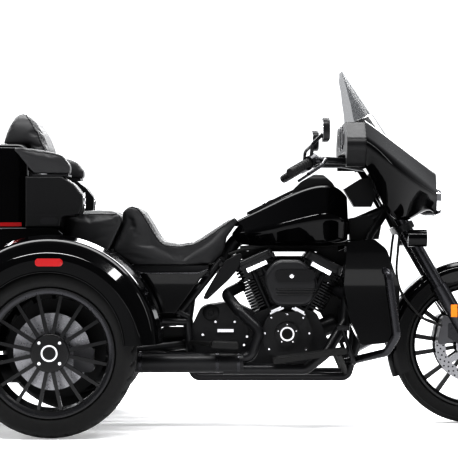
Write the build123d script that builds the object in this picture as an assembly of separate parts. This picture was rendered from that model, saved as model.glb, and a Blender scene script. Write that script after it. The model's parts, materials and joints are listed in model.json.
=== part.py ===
from build123d import *
import os
from math import cos, radians, sin, tan

# Touring trike. Millimetres: X forward, Y to the rider's left, Z up from the ground.
# The origin lies on the ground at the middle of the length and width.

# Overall sizes
LENGTH = 2670
WIDTH = 1390
WHEELBASE = 1670
TRACK = 1124
RUN_GAP = 0.3        # round pieces that turn inside each other
SIDES = (-1, 1)      # right, left

# Tyres and rims: section width, outer radius, rim lip radius, bead radius, rim width
FRONT_TYRE_R = 319.5
FRONT_TYRE_W = 130
FRONT_LIP_R = 252
FRONT_BEAD_R = 240
FRONT_RIM_W = 112
REAR_TYRE_R = 325.5
REAR_TYRE_W = 214
REAR_LIP_R = 246
REAR_BEAD_R = 229
REAR_RIM_W = 194
RIM_WALL = 9
SPOKE_PAIRS = 8
FRONT_AXLE_R = 12.5
REAR_AXLE_R = 20
FRONT_DISC_R = 150
REAR_DISC_R = 148
DISC_THICK = 7
DISC_BAND_R = 108
CARRIER_ARMS = 5
PAD_GAP = 5          # free room each side of a brake disc

REAR_AXLE_X = -654.5
FRONT_AXLE_X = REAR_AXLE_X + WHEELBASE
TAIL_X = FRONT_AXLE_X + FRONT_TYRE_R - LENGTH

# Steering axis and fork: lean from the vertical, in degrees
RAKE = 26
TRAIL = 101
FORK_LEAN = 30
FORK_SPREAD = 122    # half the distance between the legs
FORK_TUBE_R = 24.5
FORK_SLIDER_R = 31
STEM_R = 20
HEAD_TUBE_R = 36
HEAD_LOW_Z = 815
HEAD_TOP_Z = 945
CLAMP_THICK = 26
CLAMP_AHEAD = 7
STEER_GAP = 8        # free room round the steering head

# Engine: crank place, lean of each cylinder, fin stack
CRANK_X = 257
CRANK_Z = 373
REAR_CYL_LEAN = -24
FRONT_CYL_LEAN = 28
CASE_HALF_W = 112
CAM_COVER_DEPTH = 62
PRIMARY_DEPTH = 90
CASE_LOW_Z = 232
BARREL_FOOT = 128    # along the cylinder, from the crank
FIN_COUNT = 11
FIN_PITCH = 12
FIN_THICK = 6
FIN_HALF_L = 92
FIN_HALF_W = 80
BARREL_R = 62
HEAD_LENGTH = 46
ROCKER_LENGTH = 38
PUSHROD_R = 10.5

# Frame tubes
MAIN_TUBE_R = 28
RAIL_R = 17
RAIL_Y = 132
RAIL_Z = 198
REAR_RAIL_Z = 388
SEAT_LOW_Z = 648
SEAT_RAIL_Z = SEAT_LOW_Z - RAIL_R - RUN_GAP
CROSS_R = 14
SHOCK_R = 30
SHOCK_X = -560
SHOCK_TOP_Z = 640
SHOCK_Y = 226

# Rear body, fenders and luggage box
BODY_HALF_W = 330
BODY_TOP_Z = 795
BODY_FLOOR_Z = 405
SHELL = 6
TRUNK_FRONT_X = -790
DOOR_THICK = 16
DOOR_HALF_W = 280
DOOR_LOW_Z = 436
DOOR_TOP_Z = 770
DOOR_HINGE_X = TAIL_X + 10
DOOR_HINGE_Z = 425
DOOR_HINGE_Y = (-180, 180)
HINGE_LUG_R = 8
HINGE_PIN_R = 4
FENDER_R = 430
FENDER_LIP_R = 288
FENDER_SIDE_Y = 688
FENDER_AXIS_X = REAR_AXLE_X - 6
FENDER_AXIS_Z = REAR_TYRE_R + 18
FENDER_SPAN = 186
FENDER_NOSE = 2      # degrees above level where the fender's front edge lies
BOX_HALF_W = 300
BOX_FRONT_X = -775
BOX_REAR_X = -1288
BOX_LOW_Z = BODY_TOP_Z
BOX_SEAM_Z = 1022
BOX_TOP_Z = 1133
LID_FRONT_X = -905
LID_GAP = 5
LID_HINGE_Y = BOX_HALF_W + 8
LID_HINGE_X = (-1190, -1010)
PAD_WIDTH = 84       # arm pads and speaker pods, out from the box's side

# Tank and seat
TANK_LOW_Z = 728
TUNNEL_HALF_W = 48
TUNNEL_TOP_Z = 806
SEAT_HALF_W = 178
SEAT_TRAY_HALF_W = 164
COVER_POST_R = 8
COVER_POSTS = ((-290, 512, 160), (-150, 613, SEAT_TRAY_HALF_W))   # X, Z and inner Y of each

# Exhaust
MUFFLER_R = 41
PIPE_R = 22
PIPE_Y = 240

# Guards and boards
GUARD_R = 16
GUARD_Y = 405
BOARD_Y = 326
BOARD_HALF_W = 58

# Bars and lamps
BAR_R = 12.7
GRIP_R = 17
GRIP_LENGTH = 128
HEADLAMP_R = 62
HEADLAMP_Z = 912

os.makedirs("parts", exist_ok=True)


def steer_x(z):
    """X of the steering axis at height z."""
    return FRONT_AXLE_X + TRAIL - z * tan(radians(RAKE))


def fork_x(z):
    """X of the fork legs' centre line at height z."""
    return FRONT_AXLE_X - (z - FRONT_TYRE_R) * tan(radians(FORK_LEAN))


def outline(points):
    """Closed face from (u, v, corner radius) triples."""
    places = [(u, v) for u, v, _ in points]
    return make_face(FilletPolyline(*places, radius=[r for *_, r in points], close=True))


def side_prism(points, y0, y1):
    """Prism of a side-view outline, from y0 to y1."""
    return extrude(Plane.XZ.offset(-y1) * outline(points), y1 - y0)


def top_prism(points, z0, z1):
    """Prism of a plan outline, from z0 to z1."""
    return extrude(Plane.XY.offset(z0) * outline(points), z1 - z0)


def front_prism(points, x0, x1):
    """Prism of a front-view outline in Y and Z, from x0 to x1."""
    return extrude(Plane.YZ.offset(x0) * outline(points), x1 - x0)


def block(x0, x1, y0, y1, z0, z1):
    """Box between two corners."""
    corner = (Align.MIN, Align.MIN, Align.MIN)
    return Pos(x0, y0, z0) * Box(x1 - x0, y1 - y0, z1 - z0, align=corner)


def turned(points, centre, arc=360):
    """Solid turned about a line along Y through centre; points are (radius, y, corner radius)."""
    return Pos(*centre) * revolve(outline(points), Axis.Y, arc)


def rod(start, end, radius):
    """Round bar from start to end."""
    line = Vector(*end) - Vector(*start)
    return extrude(Plane(origin=start, z_dir=line) * Circle(radius), line.length)


def pipe(points, radius, bend):
    """Round tube bent along points, all bends of one radius."""
    path = FilletPolyline(*points, radius=bend)
    start = Plane(origin=path @ 0, z_dir=path % 0)
    return sweep(start * Circle(radius), path=path)


def mirrored(solid):
    """The same piece on the other side."""
    return mirror(solid, Plane.XZ)


def pair(solid):
    """A piece and its mirror image."""
    return Compound(children=list(solid.solids()) + list(mirrored(solid).solids()))


def save(name, shape):
    """Write one piece."""
    export_step(shape, f"parts/{name}.step")


# Wheels: a turned rim, a hub and paired spokes
def rim(lip_r, bead_r, width):
    half = width / 2
    return turned([
        (lip_r, -half, 0), (lip_r, -half + 6, 0), (bead_r - RUN_GAP, -half + 12, 0),
        (bead_r - RUN_GAP, half - 12, 0), (lip_r, half - 6, 0), (lip_r, half, 0),
        (lip_r - RIM_WALL, half, 0), (bead_r - RIM_WALL, half - 16, 0),
        (bead_r - RIM_WALL, -half + 16, 0), (lip_r - RIM_WALL, -half, 0),
    ], (0, 0, 0))


def tyre(radius, width, lip_r, bead_r, rim_width):
    half = width / 2
    seat = rim_width / 2 - 12.5
    return turned([
        (bead_r, -seat, 0), (bead_r, seat, 0), (lip_r + 1, seat, 0),
        (lip_r + 0.45 * (radius - lip_r), half, 0), (radius - 14, half - 8, 0), (radius, half * 0.55, 0),
        (radius, -half * 0.55, 0), (radius - 14, -half + 8, 0),
        (lip_r + 0.45 * (radius - lip_r), -half, 0), (lip_r + 1, -seat, 0),
    ], (0, 0, 0))


def spokes(inner_r, outer_r, spread, pinch, y0, y1, root, tip):
    """Spoke pairs; spread and pinch are half angles at the rim and at the hub."""
    arms = []
    for k in range(SPOKE_PAIRS):
        for side in SIDES:
            far = radians(360 * k / SPOKE_PAIRS + side * spread)
            near = radians(360 * k / SPOKE_PAIRS + side * pinch)
            end = Vector(outer_r * cos(far), 0, outer_r * sin(far))
            foot = Vector(inner_r * cos(near), 0, inner_r * sin(near))
            across = (end - foot).normalized().cross(Vector(0, 1, 0))
            corners = [foot - across * root / 2, end - across * tip / 2,
                       end + across * tip / 2, foot + across * root / 2]
            arms.append(side_prism([(c.X, c.Z, 0) for c in corners], y0, y1))
    return arms


def ring(outer_r, inner_r, y0, y1):
    return turned([(inner_r, y0, 0), (outer_r, y0, 0), (outer_r, y1, 0), (inner_r, y1, 0)], (0, 0, 0))


FRONT_HUB_HALF = 58
front_hub = ring(46, FRONT_AXLE_R + RUN_GAP, -FRONT_HUB_HALF, FRONT_HUB_HALF)
front_spokes = spokes(36, FRONT_BEAD_R - RIM_WALL + 2, 9, 9, -15, 15, 13, 19)
front_wheel = rim(FRONT_LIP_R, FRONT_BEAD_R, FRONT_RIM_W) + front_hub
front_wheel = front_wheel + front_spokes
FRONT_HUB = (FRONT_AXLE_X, 0, FRONT_TYRE_R)
save("front_wheel", Pos(*FRONT_HUB) * front_wheel)
save("front_tyre", Pos(*FRONT_HUB) * tyre(FRONT_TYRE_R, FRONT_TYRE_W, FRONT_LIP_R, FRONT_BEAD_R, FRONT_RIM_W))
disc_in, disc_out = FRONT_HUB_HALF - DISC_THICK, FRONT_HUB_HALF
front_disc = ring(FRONT_DISC_R, DISC_BAND_R, disc_in, disc_out) + ring(64, 46, disc_in, disc_out)
for k in range(CARRIER_ARMS):
    arm = block(58, DISC_BAND_R + 4, disc_in, disc_out, -11, 11)
    front_disc += Rot(0, 360 * k / CARRIER_ARMS, 0) * arm
front_disc = Pos(*FRONT_HUB) * front_disc
save("front_discs", pair(front_disc))

# Rear wheels: dished to the outside, the disc inboard on the same hub
REAR_HUB_R = 64
HUB_IN = -45
HUB_OUT = 78
HUB_FACE_OUT = 86
rear_hub = turned([
    (REAR_AXLE_R + RUN_GAP, HUB_IN, 0), (REAR_HUB_R, HUB_IN, 0), (REAR_HUB_R, 40, 0), (74, 46, 0),
    (74, HUB_OUT, 6), (33, HUB_OUT, 0), (33, HUB_FACE_OUT + 8, 5), (0, HUB_FACE_OUT + 8, 0),
    (0, HUB_FACE_OUT, 0), (REAR_AXLE_R + RUN_GAP, HUB_FACE_OUT, 0),
], (0, 0, 0))
rear_spokes = spokes(66, REAR_BEAD_R - RIM_WALL + 2, 11.25, 9, 52, HUB_OUT - 4, 15, 13)
rear_wheel = rim(REAR_LIP_R, REAR_BEAD_R, REAR_RIM_W) + rear_hub
rear_wheel = rear_wheel + rear_spokes
rear_tyre = tyre(REAR_TYRE_R, REAR_TYRE_W, REAR_LIP_R, REAR_BEAD_R, REAR_RIM_W)
REAR_DISC_Y = -22
rear_disc = ring(REAR_DISC_R, REAR_HUB_R, REAR_DISC_Y - DISC_THICK / 2, REAR_DISC_Y + DISC_THICK / 2)
for side, name in zip(SIDES, ("right", "left")):
    place = Pos(REAR_AXLE_X, side * TRACK / 2, REAR_TYRE_R)
    for label, piece in (("wheel", rear_wheel), ("tyre", rear_tyre), ("disc", rear_disc)):
        turned_out = piece if side > 0 else mirrored(piece)
        save(f"rear_{label}_{name}", place * turned_out)

# Rear axle: beam, differential, stub axles and swing arms in one casting
BEAM_R = 38
PIVOT_X = -150
PIVOT_Z = 330
PIVOT_R = 22
hub_in_y = TRACK / 2 + HUB_IN
beam_end = hub_in_y - PAD_GAP
AXLE = (REAR_AXLE_X, 0, REAR_TYRE_R)
rear_axle = turned([
    (0, 0, 0), (0, TRACK / 2 + HUB_FACE_OUT - PAD_GAP, 0),
    (REAR_AXLE_R, TRACK / 2 + HUB_FACE_OUT - PAD_GAP, 0),
    (REAR_AXLE_R, beam_end, 0), (BEAM_R, beam_end, 0), (BEAM_R, 130, 40), (108, 62, 20), (108, 0, 0),
], AXLE)
arm = pipe([(REAR_AXLE_X, 168, REAR_TYRE_R), (-420, 168, 300), (PIVOT_X, 98, PIVOT_Z)], 24, 120)
rear_axle = rear_axle + arm
rear_axle = rear_axle + mirrored(rear_axle)
rear_axle = rear_axle + rod((PIVOT_X, -122, PIVOT_Z), (PIVOT_X, 122, PIVOT_Z), PIVOT_R)
save("rear_axle", rear_axle)

# Rear brake calipers, bolted to the beam in front of the disc
disc_y = TRACK / 2 + REAR_DISC_Y
CALIPER_X = REAR_AXLE_X + 118
caliper = side_prism([
    (CALIPER_X - 34, REAR_TYRE_R - 78, 10), (CALIPER_X + 44, REAR_TYRE_R - 78, 18),
    (CALIPER_X + 44, REAR_TYRE_R + 20, 18), (CALIPER_X - 34, REAR_TYRE_R + 20, 10),
], disc_y - 40, disc_y + 26)
slot_half = DISC_THICK / 2 + PAD_GAP
caliper -= Pos(*AXLE) * ring(REAR_DISC_R + PAD_GAP, 40, disc_y - slot_half, disc_y + slot_half)
caliper += side_prism([
    (REAR_AXLE_X + 20, REAR_TYRE_R - 26, 0), (CALIPER_X + 10, REAR_TYRE_R - 60, 10),
    (CALIPER_X + 10, REAR_TYRE_R + 6, 10), (REAR_AXLE_X + 20, REAR_TYRE_R + 26, 0),
], disc_y - 40, disc_y - 28)
caliper -= rear_axle
save("rear_calipers", pair(caliper))

# Frame: steering head, backbone, twin loop cradle and the rails under the trunk
axis_dir = Vector(-sin(radians(RAKE)), 0, cos(radians(RAKE)))
head_low = Vector(steer_x(HEAD_LOW_Z), 0, HEAD_LOW_Z)
head_top = Vector(steer_x(HEAD_TOP_Z), 0, HEAD_TOP_Z)
NECK_Z = 876
neck = (steer_x(NECK_Z), 0, NECK_Z)
SEAT_POST_X = -118
frame = rod(head_low, head_top, HEAD_TUBE_R)
backbone = [neck, (440, 0, 772), (60, 0, 760), (-30, 0, 640), (SEAT_POST_X, 0, 612)]
frame += pipe(backbone, MAIN_TUBE_R, 60)
for side in SIDES:
    frame += pipe([
        (neck[0] - 24, side * 12, NECK_Z - 10), (596, side * 52, 764), (562, side * 96, 640),
        (540, side * RAIL_Y, 330),
        (500, side * RAIL_Y, RAIL_Z), (-120, side * RAIL_Y, RAIL_Z), (-146, side * (RAIL_Y + 18), 420),
        (SEAT_POST_X, side * 90, SEAT_RAIL_Z - 30), (SEAT_POST_X, side * 40, SEAT_RAIL_Z),
        (SEAT_POST_X, 0, SEAT_RAIL_Z),
    ], RAIL_R, 30)
    frame += pipe([
        (-140, side * (RAIL_Y + 16), 420), (-330, side * 190, REAR_RAIL_Z + 40),
        (-480, side * 190, REAR_RAIL_Z),
        (TAIL_X + 130, side * 190, REAR_RAIL_Z),
    ], RAIL_R - 0.5, 90)
    frame += rod((-140, side * 150, 440), (SHOCK_X, side * 176, SHOCK_TOP_Z), RAIL_R - 2)
    frame += rod((-8, side * 110, 668), (-188, side * 152, 442), RAIL_R - 1)
frame += rod((-8, -110, 668), (-8, 110, 668), CROSS_R)
frame += rod((SHOCK_X, -240, SHOCK_TOP_Z), (SHOCK_X, 240, SHOCK_TOP_Z), CROSS_R)
frame -= rod(head_low - axis_dir * 5, head_top + axis_dir * 5, STEM_R + RUN_GAP)
save("frame", frame)

# Engine cases: crankcase, gearbox, cam cover on the right, primary cover on the left
case = side_prism([
    (80, CASE_LOW_Z, 30), (400, CASE_LOW_Z, 60), (430, 330, 40), (380, 452, 30), (300, 486, 20),
    (214, 486, 20), (120, 452, 40),
], -CASE_HALF_W, CASE_HALF_W)
gearbox_end = PIVOT_X + PIVOT_R + RUN_GAP
case += side_prism([
    (gearbox_end, CASE_LOW_Z + 6, 20), (100, CASE_LOW_Z + 6, 10), (130, 456, 10), (40, 500, 40),
    (-90, 480, 50), (gearbox_end, 400, 20),
], -100, 100)
case += side_prism([
    (170, 300, 50), (258, 262, 60), (346, 300, 50), (362, 380, 40), (338, 440, 30), (300, 462, 12),
    (216, 462, 12), (176, 440, 30), (152, 380, 40),
], -CASE_HALF_W - CAM_COVER_DEPTH, -CASE_HALF_W)
case += rod((CRANK_X, -CASE_HALF_W - CAM_COVER_DEPTH - 14, CRANK_Z), (CRANK_X, -CASE_HALF_W, CRANK_Z), 47)
case += side_prism([
    (-84, 262, 80), (300, 262, 98), (368, 376, 90), (300, 480, 98), (-84, 440, 80),
], CASE_HALF_W, CASE_HALF_W + PRIMARY_DEPTH)
case -= frame
case = case.solids().sort_by(SortBy.VOLUME)[-1]
save("engine_cases", case)

# Cylinders: barrel, fin stack, head and rocker box, trimmed where the two meet
fins_length = FIN_COUNT * FIN_PITCH
head_foot = BARREL_FOOT + fins_length
rocker_foot = head_foot + HEAD_LENGTH


def rounded_slab(half_l, half_w, corner, z0, z1):
    return extrude(Plane.XY.offset(z0) * RectangleRounded(2 * half_l, 2 * half_w, corner), z1 - z0)


def cylinder_stack():
    stack = extrude(Plane.XY.offset(BARREL_FOOT - 20) * Circle(BARREL_R), fins_length + 40)
    for k in range(FIN_COUNT):
        low = BARREL_FOOT + 8 + k * FIN_PITCH
        stack += rounded_slab(FIN_HALF_L, FIN_HALF_W, 34, low, low + FIN_THICK)
    stack += rounded_slab(FIN_HALF_L - 14, FIN_HALF_W - 14, 24, head_foot, rocker_foot)
    for k in range(3):
        low = head_foot + 4 + k * 15
        stack += rounded_slab(FIN_HALF_L - 2, FIN_HALF_W - 2, 30, low, low + FIN_THICK)
    stack += rounded_slab(FIN_HALF_L - 6, 118, 26, rocker_foot, rocker_foot + 14)
    cover = rounded_slab(FIN_HALF_L - 10, 104, 26, rocker_foot + 14, rocker_foot + ROCKER_LENGTH)
    stack += fillet(cover.faces().sort_by(Axis.Z)[-1].edges(), 10)
    return stack


crank = Pos(CRANK_X, 0, CRANK_Z)
mid_lean = (REAR_CYL_LEAN + FRONT_CYL_LEAN) / 2
split = crank * Rot(0, mid_lean, 0) * Box(4, 400, 1200)
half_space = Box(600, 400, 1200, align=(Align.MAX, Align.CENTER, Align.CENTER))
cylinders = {}
for name, lean, turn in (("cylinder_rear", REAR_CYL_LEAN, 0), ("cylinder_front", FRONT_CYL_LEAN, 180)):
    keep = crank * Rot(0, mid_lean, 0) * Rot(0, 0, turn) * half_space
    body = (crank * Rot(0, lean, 0) * cylinder_stack()) & keep
    body = body - split - case
    cylinders[name] = body.solids().sort_by(SortBy.VOLUME)[-1]
    save(name, cylinders[name])

# Push rod tubes, two to a cylinder, from the cases to the rocker boxes
tubes = []
for lean in (REAR_CYL_LEAN, FRONT_CYL_LEAN):
    for offset in (-22, 22):
        tube = crank * Rot(0, lean, 0) * rod((offset, -98, 96), (offset, -98, rocker_foot), PUSHROD_R)
        foot = crank * Rot(0, lean, 0) * rod((offset, -98, 84), (offset, -98, 122), PUSHROD_R + 6)
        tube = tube + foot
        for other in [case, *cylinders.values()]:
            tube = tube - other
        tubes.append(tube.solids().sort_by(SortBy.VOLUME)[-1])
save("pushrod_tubes", Compound(children=tubes))

# Intake and air cleaner on the right of the vee
CLEANER_X = 268
CLEANER_Z = 580
CLEANER_IN = -128
CLEANER_OUT = -276
cleaner = side_prism([
    (CLEANER_X - 112, CLEANER_Z + 20, 60), (CLEANER_X - 70, CLEANER_Z - 92, 56),
    (CLEANER_X + 84, CLEANER_Z - 92, 56),
    (CLEANER_X + 112, CLEANER_Z + 10, 70), (CLEANER_X + 50, CLEANER_Z + 92, 60),
    (CLEANER_X - 60, CLEANER_Z + 92, 60),
], CLEANER_OUT, CLEANER_IN - 26)
cleaner = fillet(cleaner.faces().sort_by(Axis.Y)[0].edges(), 16)
cleaner += rod((CLEANER_X - 6, CLEANER_IN - 30, CLEANER_Z), (CLEANER_X - 6, 20, CLEANER_Z), 32)
cleaner += rod((CLEANER_X - 110, 0, CLEANER_Z), (CLEANER_X + 110, 0, CLEANER_Z), 24)
for other in cylinders.values():
    cleaner = cleaner - other
cleaner = cleaner.solids().sort_by(SortBy.VOLUME)[-1]
save("air_cleaner", cleaner)

# Exhaust: a header from each head, one muffler a side and a crossover pipe
muffler_line = [(80, -PIPE_Y, 264), (-360, -PIPE_Y, 262), (-480, -PIPE_Y, 222), (-1180, -PIPE_Y, 222)]
exhaust = pipe(muffler_line, MUFFLER_R, 150)
exhaust += mirrored(pipe([(-150, -PIPE_Y, 263), *muffler_line[1:]], MUFFLER_R, 150))
exhaust += pipe([
    (74, -40, 562), (10, -110, 530), (60, -214, 470), (146, -PIPE_Y, 390), (112, -PIPE_Y, 286),
    (-60, -PIPE_Y, 266),
], PIPE_R, 40)
exhaust += pipe([
    (448, -40, 551), (500, -110, 520), (486, -190, 420), (410, -PIPE_Y, 300), (330, -PIPE_Y, 236),
    (0, -PIPE_Y, 236),
], PIPE_R, 40)
exhaust += rod((-212, -PIPE_Y, 248), (-212, PIPE_Y, 248), PIPE_R)
for other in (*cylinders.values(), case, frame, rear_axle):
    exhaust = exhaust - other
exhaust = exhaust.solids().sort_by(SortBy.VOLUME)[-1]
save("exhaust", exhaust)

# Tank: loft of six-sided sections with round corners, over the backbone
# x, bottom z, bottom half width, widest z, half width, top z, top half width, corner radius
TANK_SECTIONS = (
    (28, 742, 24, 774, 42, 814, 17, 9),
    (150, TANK_LOW_Z, 84, 786, 122, 878, 52, 28),
    (300, TANK_LOW_Z, 122, 822, 166, 950, 76, 40),
    (420, TANK_LOW_Z, 130, 842, 172, 976, 84, 44),
    (505, 744, 92, 836, 122, 926, 56, 30),
)


def six_sided(x, low_z, low_w, mid_z, mid_w, top_z, top_w, corner, grow=0):
    """Section in Y and Z, grown outwards by grow."""
    points = [
        (-low_w - grow, low_z - grow), (low_w + grow, low_z - grow), (mid_w + grow, mid_z),
        (top_w + grow, top_z + grow), (-top_w - grow, top_z + grow), (-mid_w - grow, mid_z),
    ]
    return Plane.YZ.offset(x) * outline([(y, z, corner + grow) for y, z in points])


tank = loft([six_sided(*row) for row in TANK_SECTIONS])
tank_grown = loft([six_sided(*row, grow=12) for row in TANK_SECTIONS])
CONSOLE_HALF_W = 40
DASH_HALF_W = 54
console = block(96, 430, -CONSOLE_HALF_W, CONSOLE_HALF_W, 840, 1000)
console = fillet(console.edges().filter_by(Axis.Z), CONSOLE_HALF_W - 2)
console = console & tank_grown
dash = side_prism([
    (240, 880, 0), (280, 950, 30), (318, 988, 40), (372, 1019, 30), (410, 1017, 24), (446, 984, 40), (480, 930, 30),
    (480, 880, 0),
], -DASH_HALF_W, DASH_HALF_W)
dash = dash & front_prism([
    (-DASH_HALF_W, 860, 0), (DASH_HALF_W, 860, 0), (DASH_HALF_W - 6, 1024, 34), (6 - DASH_HALF_W, 1024, 34),
], 200, 520)
console = (console + dash - tank).solids().sort_by(SortBy.VOLUME)[-1]
tunnel = block(0, 600, -TUNNEL_HALF_W, TUNNEL_HALF_W, 600, TUNNEL_TOP_Z)
tank -= pipe(backbone, MAIN_TUBE_R + RUN_GAP, 60)
tank = (tank - tunnel).solids().sort_by(SortBy.VOLUME)[-1]
save("fuel_tank", tank)
save("tank_console", console)

# Seat: one cushion for the rider, one behind
RIDER_PLAN = [
    (62, -66, 30), (-170, -SEAT_HALF_W, 110), (-460, -SEAT_HALF_W, 30), (-460, SEAT_HALF_W, 30),
    (-170, SEAT_HALF_W, 110), (62, 66, 30),
]
rider_seat = side_prism([
    (-94, SEAT_LOW_Z, 8), (-38, SEAT_LOW_Z + 3, 24), (3, 700, 30), (12, 760, 20), (62, 826, 4),
    (48, 842, 6),
    (-40, 784, 70), (-112, 738, 90), (-179, 728, 80), (-250, 738, 60), (-298, 820, 70), (-338, 882, 30),
    (-378, 894, 16), (-402, 866, 14), (-398, 824, 30), (-446, 704, 10), (-430, 696, 4),
    (-356, SEAT_LOW_Z, 12),
], -SEAT_HALF_W, SEAT_HALF_W)
rider_seat = rider_seat & top_prism(RIDER_PLAN, 500, 1000)
rider_seat = rider_seat - frame - tank_grown - pipe(backbone, MAIN_TUBE_R + 2, 60)
rider_seat = rider_seat.solids().sort_by(SortBy.VOLUME)[-1]
save("rider_seat", rider_seat)
PAN_Z = 692
passenger_seat = side_prism([
    (-414, 858, 14), (-508, 864, 30), (-640, 856, 16), (-651, PAN_Z + 40, 10), (-645, PAN_Z + RUN_GAP, 8),
    (-468, PAN_Z + RUN_GAP, 8), (-406, 824, 30),
], -SEAT_HALF_W, SEAT_HALF_W)
save("passenger_seat", passenger_seat)

# Side covers under the seat
cover = side_prism([
    (-384, 652, 10), (-330, 622, 50), (-97, 622, 20), (-62, 636, 6), (-54, 626, 5), (-92, 594, 20),
    (-190, 456, 16),
    (-276, 456, 16), (-296, 500, 30), (-330, 580, 40),
], -206, -191.5)
cover = fillet(cover.faces().sort_by(Axis.Y)[0].edges(), 6)
for post_x, post_z, inner_y in COVER_POSTS:
    cover += rod((post_x, -192, post_z), (post_x, -inner_y, post_z), COVER_POST_R)
save("side_covers", pair((cover - frame).solids().sort_by(SortBy.VOLUME)[-1]))

# Air deflectors between the seat and the cylinders, on stubs from the cross tube
DEFLECTOR_Y = 150
deflector = side_prism([
    (82, 706, 10), (8, 668, 30), (-44, 582, 40), (-84, 512, 6), (-62, 512, 8), (20, 588, 60), (60, 634, 40),
], -DEFLECTOR_Y - 8, -DEFLECTOR_Y)
deflector = fillet(deflector.faces().sort_by(Axis.Y)[0].edges(), 3)
deflector += rod((-8, -DEFLECTOR_Y - 2, 650), (-8, -80, 660), 9)
deflector = (deflector - frame).solids().sort_by(SortBy.VOLUME)[-1]
save("air_deflectors", pair(deflector))

# Battery box on a tray between the rear rails, with the seat base over it
BATTERY_HALF_W = 108
battery = block(-340, -172, -BATTERY_HALF_W, BATTERY_HALF_W, 412, 606)
battery = fillet(battery.edges().filter_by(Axis.Z), 16)
battery += block(-320, -190, -176, 176, 404, 412)
battery += block(-380, -60, -SEAT_TRAY_HALF_W, SEAT_TRAY_HALF_W, 604, SEAT_LOW_Z - RUN_GAP)
battery = (battery - frame).solids().sort_by(SortBy.VOLUME)[-1]
save("battery_box", battery)

# Rear body: hollow trunk, deck and seat pan in one shell
body_rear_x = TAIL_X + DOOR_THICK + 1
def body_plan(inset):
    half = BODY_HALF_W - inset
    return [(body_rear_x + inset, -half, BODY_CORNER - inset), (TRUNK_FRONT_X - inset, -half, 0),
            (TRUNK_FRONT_X - inset, half, 0), (body_rear_x + inset, half, BODY_CORNER - inset)]


BODY_CORNER = 46
body = top_prism(body_plan(0), BODY_FLOOR_Z, BODY_TOP_Z)
hollow = top_prism(body_plan(SHELL), BODY_FLOOR_Z + SHELL, BODY_TOP_Z - SHELL)
mouth = block(body_rear_x - 1, body_rear_x + SHELL + 1, -DOOR_HALF_W + 14, DOOR_HALF_W - 14,
              DOOR_LOW_Z + 14, DOOR_TOP_Z - 14)
body = body - hollow - fillet(mouth.edges().filter_by(Axis.X), 30)
DECK_X = -656
PAN_FRONT_X = -440
body += block(TRUNK_FRONT_X, DECK_X, -BODY_HALF_W, BODY_HALF_W, BODY_TOP_Z - SHELL, BODY_TOP_Z)
body += block(DECK_X - SHELL, DECK_X, -BODY_HALF_W, BODY_HALF_W, PAN_Z - SHELL, BODY_TOP_Z)
body += block(DECK_X - SHELL, PAN_FRONT_X, -BODY_HALF_W, BODY_HALF_W, PAN_Z - SHELL, PAN_Z)
body -= frame
body = body.solids().sort_by(SortBy.VOLUME)[-1]
for y in DOOR_HINGE_Y:
    lug = rod((DOOR_HINGE_X, y - 15, DOOR_HINGE_Z), (DOOR_HINGE_X, y + 15, DOOR_HINGE_Z), HINGE_LUG_R)
    lug += block(DOOR_HINGE_X, body_rear_x + 1, y - 15, y + 15,
                 DOOR_HINGE_Z - HINGE_LUG_R, DOOR_HINGE_Z + HINGE_LUG_R)
    body += lug - rod((DOOR_HINGE_X, y - 20, DOOR_HINGE_Z), (DOOR_HINGE_X, y + 20, DOOR_HINGE_Z),
                      HINGE_PIN_R + RUN_GAP)
save("trunk_body", body)
door = front_prism([
    (-DOOR_HALF_W, DOOR_LOW_Z, 36), (DOOR_HALF_W, DOOR_LOW_Z, 36), (DOOR_HALF_W, DOOR_TOP_Z, 36),
    (-DOOR_HALF_W, DOOR_TOP_Z, 36),
], TAIL_X, TAIL_X + DOOR_THICK)
door = fillet(door.faces().sort_by(Axis.X)[0].edges(), 8)
for y in DOOR_HINGE_Y:
    door += rod((DOOR_HINGE_X, y - 30, DOOR_HINGE_Z), (DOOR_HINGE_X, y + 30, DOOR_HINGE_Z), HINGE_PIN_R)
    for edge in (-24, 24):
        door += block(DOOR_HINGE_X - 5, DOOR_HINGE_X + 5, y + edge - 6, y + edge + 6, DOOR_HINGE_Z, DOOR_LOW_Z + 12)
        door += rod((DOOR_HINGE_X, y + edge - 6, DOOR_HINGE_Z), (DOOR_HINGE_X, y + edge + 6, DOOR_HINGE_Z), 5)
save("trunk_door", door)

# Rear fenders: one turned shell a side with an inner wall against the body
FENDER_INNER_R = 150


def fender_section(inset):
    """Outer half of the fender's section, (radius, y, corner), drawn in from the skin by inset."""
    return [
        (FENDER_LIP_R, FENDER_SIDE_Y - 4 - inset, 0),
        (352 - inset * 0.6, FENDER_SIDE_Y - inset, 40 - inset),
        (414 - inset * 0.8, 640 - inset * 0.6, 60 - inset), (FENDER_R - inset, 540, 90 - inset),
        (FENDER_R - inset, BODY_HALF_W + inset, 0),
    ]


fender_place = (FENDER_AXIS_X, 0, FENDER_AXIS_Z)
shell_points = fender_section(0) + [(FENDER_INNER_R, BODY_HALF_W, 0), (FENDER_INNER_R, BODY_HALF_W + SHELL, 0)]
shell_points += fender_section(SHELL)[::-1]
sweep_turn = Rot(0, -FENDER_SPAN - FENDER_NOSE, 0)
fender = Pos(*fender_place) * sweep_turn * turned(shell_points, (0, 0, 0), FENDER_SPAN)
fender_core_points = fender_section(0) + [(0, BODY_HALF_W, 0), (0, FENDER_SIDE_Y - 4, 0)]
fender_core = turned(fender_core_points, fender_place)
save("rear_fenders", pair(fender))

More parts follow.
